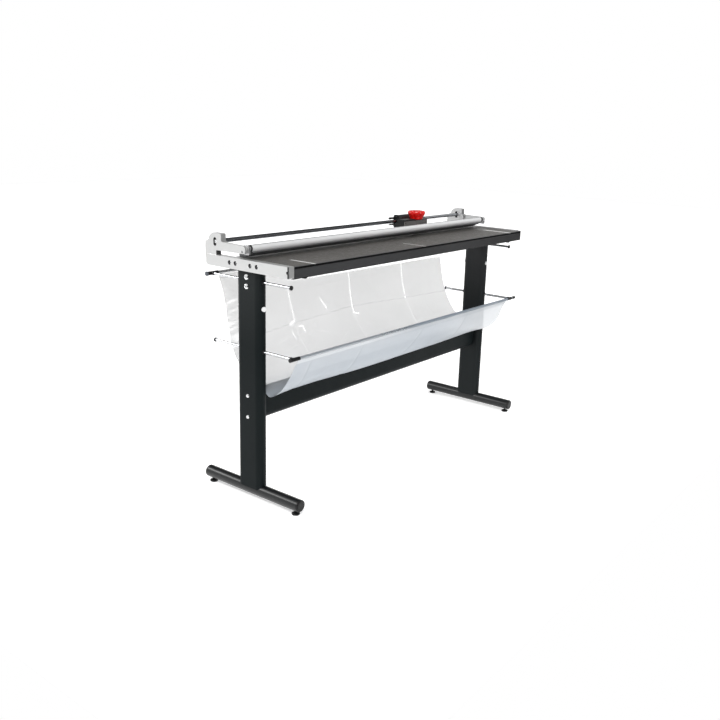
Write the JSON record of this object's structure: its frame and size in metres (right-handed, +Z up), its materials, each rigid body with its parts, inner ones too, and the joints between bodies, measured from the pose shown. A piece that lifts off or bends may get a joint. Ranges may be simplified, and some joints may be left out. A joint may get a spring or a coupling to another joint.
{
  "type": "large format paper trimmer",
  "caption": "Floor-standing wide sliding paper cutter: flat bed with clamp tube, rail-guided carriage with red knob, black T-foot stand and a hanging clear film waste bag.",
  "frame": {"origin": "on the floor under the middle of the whole machine", "axes": "+X along the cut towards the machine's right-hand end seen by the operator, +Y from the operator's side to the rail side, +Z up"},
  "size_m": [1.5886, 0.48, 0.982],
  "materials": {
    "black_powder_coat": "satin black powder coat on steel",
    "black_plastic": "moulded black plastic",
    "grey_plastic": "light grey push-in plugs",
    "chromed_steel": "polished chrome",
    "zinc_plated_steel": "bright zinc",
    "dark_screws": "blackened steel",
    "clear_film": "clear folded film with creases",
    "black_anodised": "black anodised extrusion",
    "dark_grey_laminate": "fine grained dark grey laminate",
    "white_scale": "white inlaid strip",
    "light_grey_paint": "light grey paint on cast aluminium",
    "bare_aluminium": "bright brushed aluminium",
    "blade_steel": "ground tool steel",
    "grip_rubber": "soft black rubber",
    "guard_grey": "brownish dark grey",
    "bush_plastic": "ivory bearing plastic",
    "red_plastic": "glossy red moulding"
  },
  "bodies": {
    "stand": {"arm_rod_lower_left": "chromed_steel", "arm_rod_lower_right": "chromed_steel", "arm_rod_upper_left": "chromed_steel", "arm_rod_upper_right": "chromed_steel", "basket_rod_front": "chromed_steel", "basket_rod_rear": "chromed_steel", "bed_foot_pads": "black_plastic", "bed_panel": "black_anodised", "blade_screws": "dark_screws", "bracket_bolts": "zinc_plated_steel", "clamp_guide_pins": "zinc_plated_steel", "column_hole_plugs": "grey_plastic", "column_left": "black_powder_coat", "column_right": "black_powder_coat", "crossbar": "black_powder_coat", "crossbar_bolts": "zinc_plated_steel", "film_bag": "clear_film", "fixed_blade": "blade_steel", "foot_end_caps": "black_plastic", "foot_tube_left": "black_powder_coat", "foot_tube_right": "black_powder_coat", "front_profile": "black_anodised", "head_bracket_left": "black_powder_coat", "head_bracket_right": "black_powder_coat", "lower_blade_holder": "black_anodised", "rail": "chromed_steel", "rail_bolts": "zinc_plated_steel", "rod_bushes": "black_plastic", "rod_end_caps": "black_plastic", "rod_tees": "black_plastic", "scale_strips": "white_scale", "side_plate_left": "light_grey_paint", "side_plate_right": "light_grey_paint", "side_plate_screws": "zinc_plated_steel", "table_end_cap": "black_plastic", "top_sheet": "dark_grey_laminate"},
    "clamp": {"clamp_tube": "bare_aluminium", "clamp_strip": "black_anodised", "clamp_rubber": "grip_rubber", "clamp_end_blocks": "bare_aluminium", "clamp_tube_plugs": "black_plastic", "clamp_springs": "zinc_plated_steel", "clamp_strip_screws": "zinc_plated_steel"},
    "carriage": {"carriage_body": "black_plastic", "carriage_front_block": "black_plastic", "carriage_end_plates": "black_plastic", "carriage_bushes": "bush_plastic", "blade_guards": "guard_grey", "blade_bearings": "zinc_plated_steel", "blade_spring": "zinc_plated_steel", "carriage_studs": "zinc_plated_steel", "stop_pin": "black_plastic", "carriage_screws": "dark_screws"},
    "cutter": {"blade_wheel": "blade_steel", "blade_shaft": "zinc_plated_steel"},
    "knob": {"knob": "red_plastic"},
    "foot_front_left": {"levelling_foot_front_left": "black_plastic"},
    "foot_front_right": {"levelling_foot_front_right": "black_plastic"},
    "foot_rear_left": {"levelling_foot_rear_left": "black_plastic"},
    "foot_rear_right": {"levelling_foot_rear_right": "black_plastic"}
  },
  "joints": [
    {"name": "carriage_slide", "type": "slide", "parent": "stand", "child": "carriage", "axis": [1, 0, 0], "range_m": [-0.993, 0.308]},
    {"name": "cutter_spin", "type": "hinge", "parent": "carriage", "child": "cutter", "pos_m": [0.3275, 0.078, 0.912], "axis": [0, 1, 0], "continuous": true},
    {"name": "knob_turn", "type": "hinge", "parent": "carriage", "child": "knob", "pos_m": [0.359, 0.094, 0.95], "axis": [0, 0, 1], "continuous": true},
    {"name": "clamp_press", "type": "slide", "parent": "stand", "child": "clamp", "axis": [0, 0, 1], "range_m": [-0.005, 0], "stiffness_N_per_m": 5000, "springref_m": 0.014, "deforming": ["clamp_springs"]},
    {"name": "foot_level_front_left", "type": "slide", "parent": "stand", "child": "foot_front_left", "axis": [0, 0, 1], "range_m": [-0.008, 0.004]},
    {"name": "foot_level_front_right", "type": "slide", "parent": "stand", "child": "foot_front_right", "axis": [0, 0, 1], "range_m": [-0.008, 0.004]},
    {"name": "foot_level_rear_left", "type": "slide", "parent": "stand", "child": "foot_rear_left", "axis": [0, 0, 1], "range_m": [-0.008, 0.004]},
    {"name": "foot_level_rear_right", "type": "slide", "parent": "stand", "child": "foot_rear_right", "axis": [0, 0, 1], "range_m": [-0.008, 0.004]}
  ],
  "couplings": [
    {"joint": "cutter_spin", "follows": "carriage_slide", "rad_per_m": 35.714}
  ]
}
